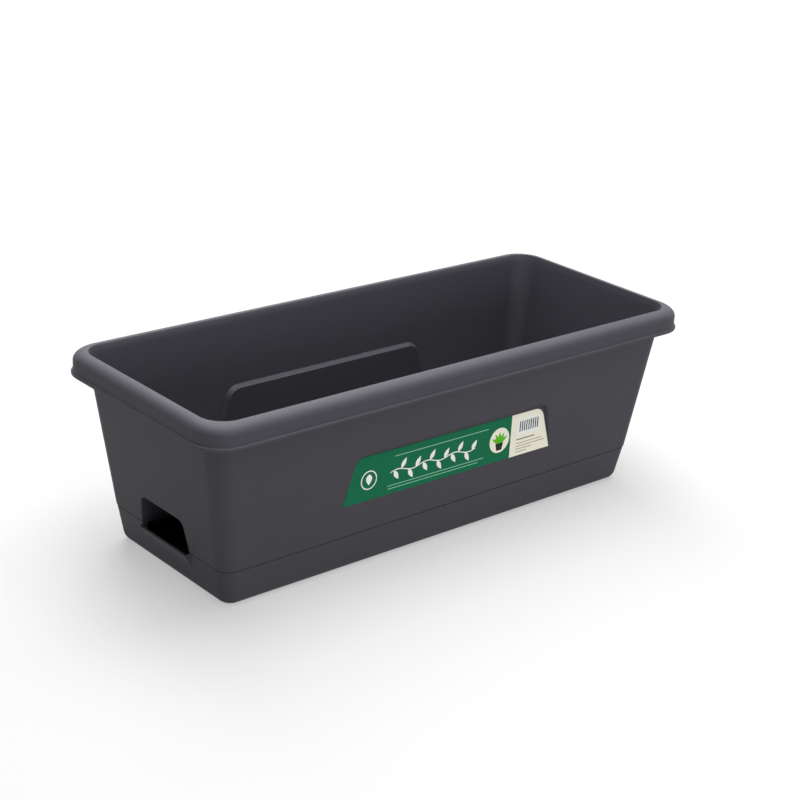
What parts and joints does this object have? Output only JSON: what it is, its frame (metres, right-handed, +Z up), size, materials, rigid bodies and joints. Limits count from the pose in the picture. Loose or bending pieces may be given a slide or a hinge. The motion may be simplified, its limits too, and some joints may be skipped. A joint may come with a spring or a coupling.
{
  "type": "rectangular planter",
  "caption": "Rectangular trough planter with a rolled rim and sunk side panels, standing in a flush water tray with a filler mouth and lip at one end.",
  "frame": {"origin": "on the ground, under the middle of the planter", "axes": "+X along the length, away from the end with the filler mouth; -Y the long side with the label; +Z up"},
  "size_m": [0.51, 0.21, 0.165],
  "materials": {
    "anthracite_polypropylene": "fine matte moulded grain",
    "printed_label": "satin printed film"
  },
  "bodies": {
    "tray": {"tray": "anthracite_polypropylene"},
    "pot": {"pot": "anthracite_polypropylene", "label": "printed_label"}
  },
  "joints": [
    {"name": "pot_lift", "type": "slide", "parent": "tray", "child": "pot", "axis": [0, 0, 1], "range_m": [0, 0.06]}
  ]
}
